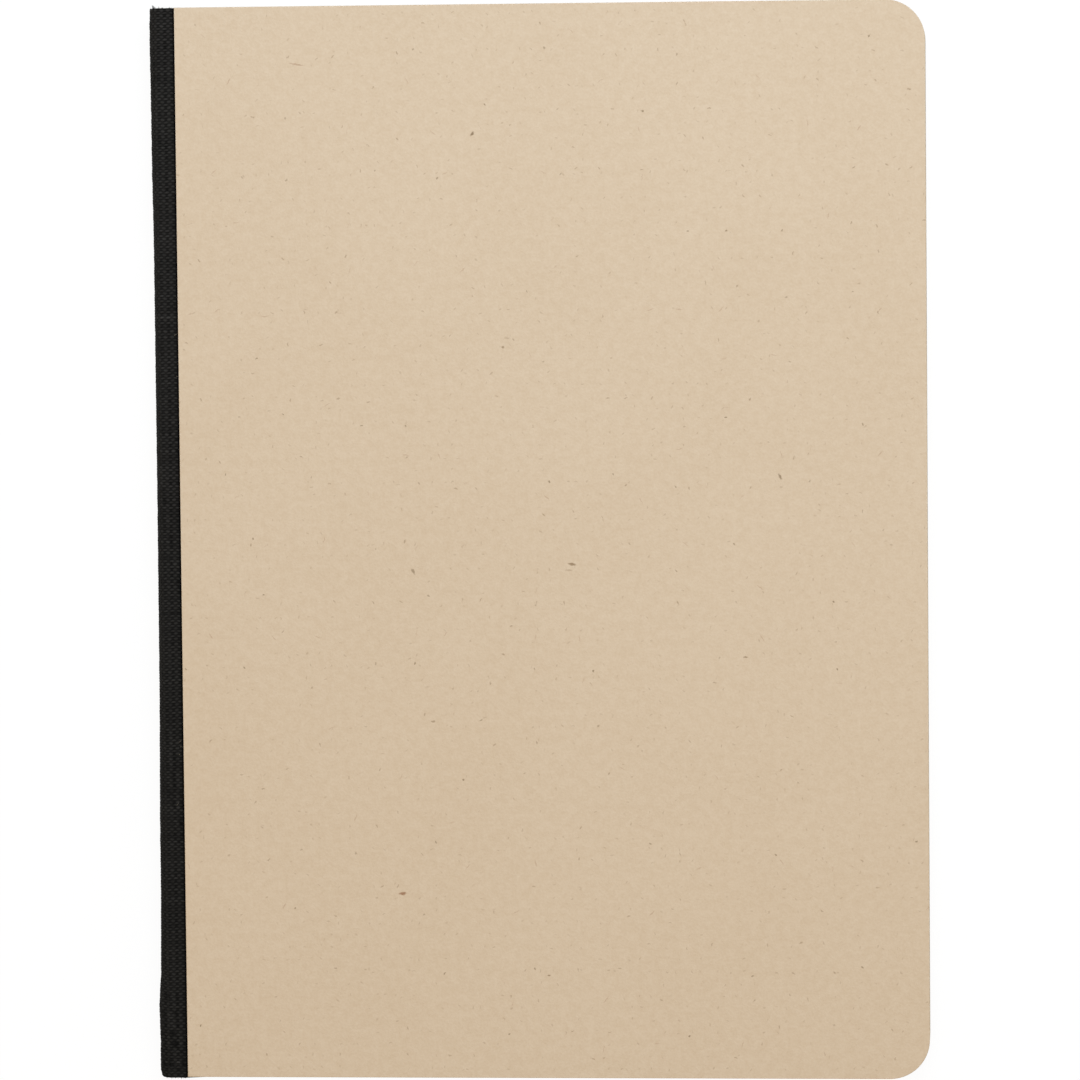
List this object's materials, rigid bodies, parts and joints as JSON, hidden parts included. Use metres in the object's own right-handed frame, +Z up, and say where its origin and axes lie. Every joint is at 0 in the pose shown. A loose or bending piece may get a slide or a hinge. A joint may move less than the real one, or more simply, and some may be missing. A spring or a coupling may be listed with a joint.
{
  "type": "composition notebook",
  "caption": "Closed cloth-spine composition notebook with bare kraft board covers, rounded fore-edge corners and a sewn page block; both covers swing open.",
  "frame": {"origin": "centre of the footprint of the closed book, on the outer face of the back board", "axes": "+Z up through the thickness towards the front board, +Y towards the head, +X from the spine towards the fore edge"},
  "size_m": [0.1514, 0.21, 0.01],
  "materials": {
    "kraft_board": "bare pressed kraft board with small dark flecks",
    "book_cloth": "black plain-weave book cloth, matt",
    "endpaper": "plain cream endpaper",
    "writing_paper": "uncoated cream writing paper",
    "gauze": "stiffened open gauze",
    "thread": "plain sewing thread"
  },
  "bodies": {
    "book_block": {"page_block": "writing_paper", "spine_lining": "gauze", "sewing_threads": "thread", "spine_cloth": "book_cloth", "front_endpaper": "endpaper", "back_endpaper": "endpaper"},
    "front_cover": {"front_board": "kraft_board"},
    "back_cover": {"back_board": "kraft_board"}
  },
  "joints": [
    {"name": "front_cover_hinge", "type": "hinge", "parent": "book_block", "child": "front_cover", "pos_m": [-0.07355, 0, 0.009], "axis": [0, -1, 0], "range_deg": [0, 178], "deforming": ["spine_cloth", "front_endpaper"]},
    {"name": "back_cover_hinge", "type": "hinge", "parent": "book_block", "child": "back_cover", "pos_m": [-0.07355, 0, 0.001], "axis": [0, 1, 0], "range_deg": [0, 178], "deforming": ["spine_cloth", "back_endpaper"]}
  ]
}
